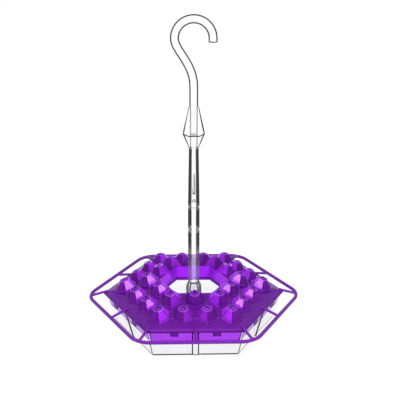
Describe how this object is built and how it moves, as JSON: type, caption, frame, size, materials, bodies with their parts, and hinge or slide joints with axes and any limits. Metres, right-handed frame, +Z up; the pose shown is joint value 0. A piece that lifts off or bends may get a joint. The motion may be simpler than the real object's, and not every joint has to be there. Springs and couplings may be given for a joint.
{
  "type": "hummingbird feeder",
  "caption": "Hanging six-sided nectar tray feeder with a purple lift-off cover of faceted feeding ports, a perch frame, a central ant moat and a clear sectional hook rod.",
  "frame": {"origin": "centre of the tray's underside", "axes": "+Z up along the rod, +X to a corner of the hexagon, so that a flat side faces -Y, the picture's front"},
  "size_m": [0.2432, 0.2176, 0.3536],
  "materials": {
    "clear_plastic": "clear polished",
    "purple_plastic": "tinted transparent polished"
  },
  "bodies": {
    "tray_body": {"tray": "clear_plastic"},
    "cover_body": {"cover": "purple_plastic", "perch": "purple_plastic"},
    "rod_body": {"foot_collar": "clear_plastic", "lower_rod": "clear_plastic", "rod_coupler": "clear_plastic"},
    "hanger_body": {"upper_rod": "clear_plastic", "bead": "clear_plastic", "hook": "clear_plastic"}
  },
  "joints": [
    {"name": "cover_lift", "type": "slide", "parent": "tray_body", "child": "cover_body", "axis": [0, 0, 1], "range_m": [0, 0.12]},
    {"name": "rod_turn", "type": "hinge", "parent": "tray_body", "child": "rod_body", "pos_m": [0, 0, 0.031], "axis": [0, 0, 1], "range_deg": [0, 60]},
    {"name": "hanger_pull", "type": "slide", "parent": "rod_body", "child": "hanger_body", "axis": [0, 0, 1], "range_m": [0, 0.018]}
  ]
}
